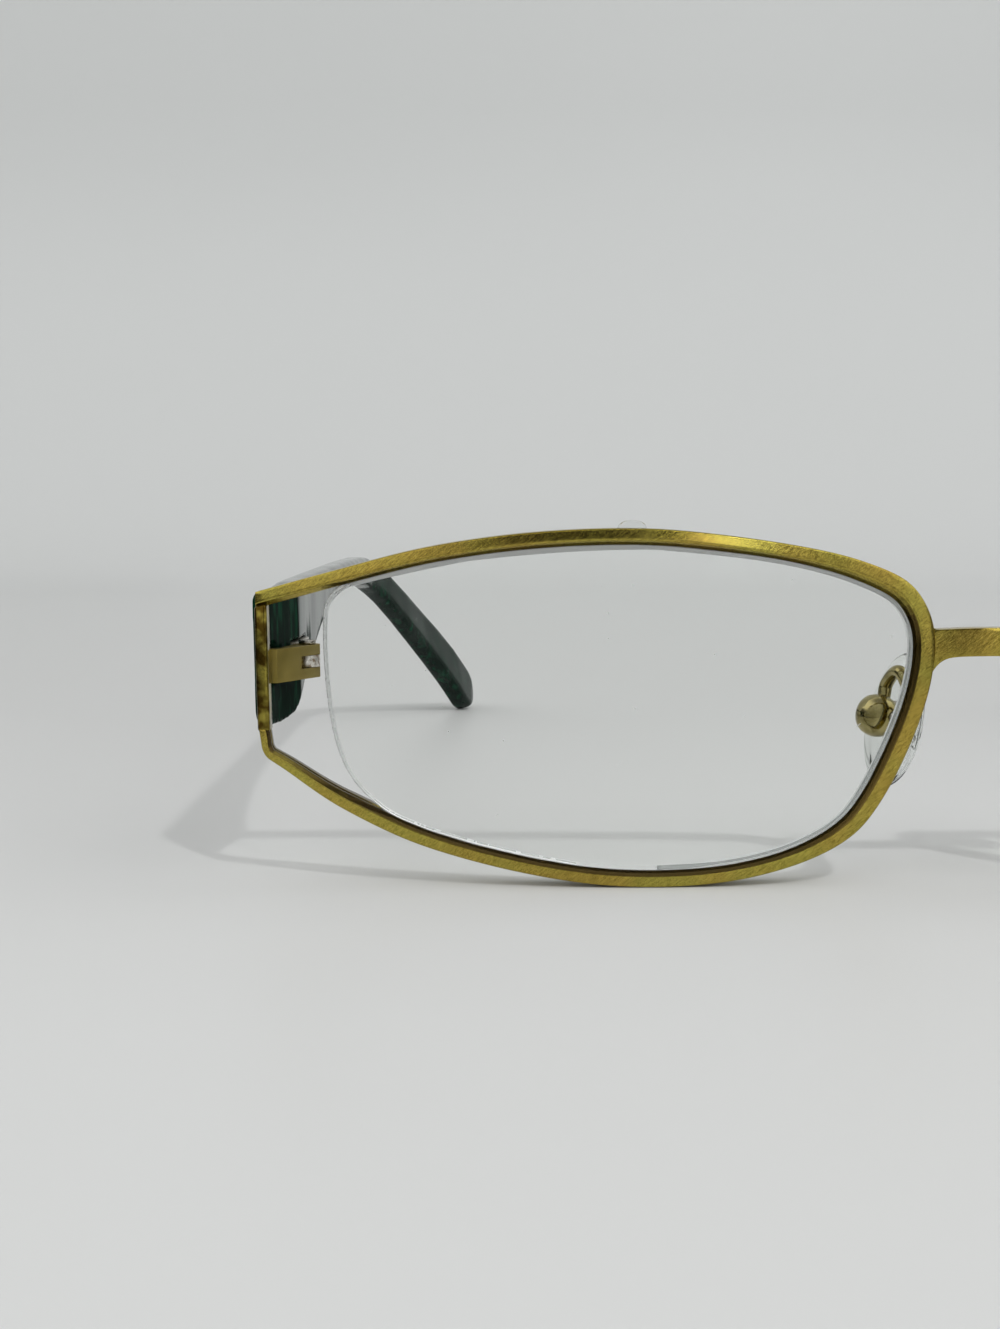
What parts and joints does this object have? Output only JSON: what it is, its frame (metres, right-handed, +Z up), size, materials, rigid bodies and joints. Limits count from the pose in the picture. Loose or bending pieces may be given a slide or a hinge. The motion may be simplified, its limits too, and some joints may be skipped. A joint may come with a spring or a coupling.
{
  "type": "semi-rimless eyeglasses",
  "caption": "Metal-fronted spectacles whose clear lenses are free at the temple side, with hinged acetate temples and clear nose pads.",
  "frame": {"origin": "bottom centre of the glasses as they stand on a table with the temples open", "axes": "+Z up, -Y the way the wearer looks, +X towards the wearer's left, temples running towards +Y"},
  "size_m": [0.1388, 0.1378, 0.0337],
  "materials": {
    "gold_metal": "brushed",
    "pad_metal": "polished",
    "nickel_silver": "satin",
    "steel": "satin",
    "clear_lens": "polished",
    "clear_nylon": "clear",
    "clear_silicone": "clear",
    "green_acetate": "polished"
  },
  "bodies": {
    "front": {"bridge": "gold_metal", "rim_right": "gold_metal", "rim_left": "gold_metal", "end_bar_right": "gold_metal", "end_bar_left": "gold_metal", "lens_right": "clear_lens", "lens_left": "clear_lens", "lens_cord_right": "clear_nylon", "lens_cord_left": "clear_nylon", "rim_liner_right": "clear_nylon", "rim_liner_left": "clear_nylon", "liner_tab_right": "clear_nylon", "liner_tab_left": "clear_nylon", "hinge_block_right": "gold_metal", "hinge_block_left": "gold_metal", "hinge_screw_right": "steel", "hinge_screw_left": "steel", "pad_arm_right": "gold_metal", "pad_arm_left": "gold_metal", "pad_box_right": "pad_metal", "pad_box_left": "pad_metal", "pad_screw_right": "steel", "pad_screw_left": "steel"},
    "arm_right": {"temple_right": "green_acetate", "hinge_leaf_right": "nickel_silver", "core_wire_right": "nickel_silver"},
    "arm_left": {"temple_left": "green_acetate", "hinge_leaf_left": "nickel_silver", "core_wire_left": "nickel_silver"},
    "pad_right": {"nose_pad_right": "clear_silicone", "pad_insert_right": "steel"},
    "pad_left": {"nose_pad_left": "clear_silicone", "pad_insert_left": "steel"}
  },
  "joints": [
    {"name": "fold_right", "type": "hinge", "parent": "front", "child": "arm_right", "pos_m": [-0.0649, -0.05698, 0.01998], "axis": [0, 0, -1], "range_deg": [0, 86]},
    {"name": "fold_left", "type": "hinge", "parent": "front", "child": "arm_left", "pos_m": [0.0649, -0.05698, 0.01998], "axis": [0, 0, 1], "range_deg": [0, 70]},
    {"name": "pad_rock_right", "type": "hinge", "parent": "front", "child": "pad_right", "pos_m": [-0.00979, -0.05919, 0.01491], "axis": [0.6018, -0.7986, 0], "range_deg": [-10, 10]},
    {"name": "pad_rock_left", "type": "hinge", "parent": "front", "child": "pad_left", "pos_m": [0.00979, -0.05919, 0.01491], "axis": [-0.6018, -0.7986, 0], "range_deg": [-10, 10]}
  ]
}
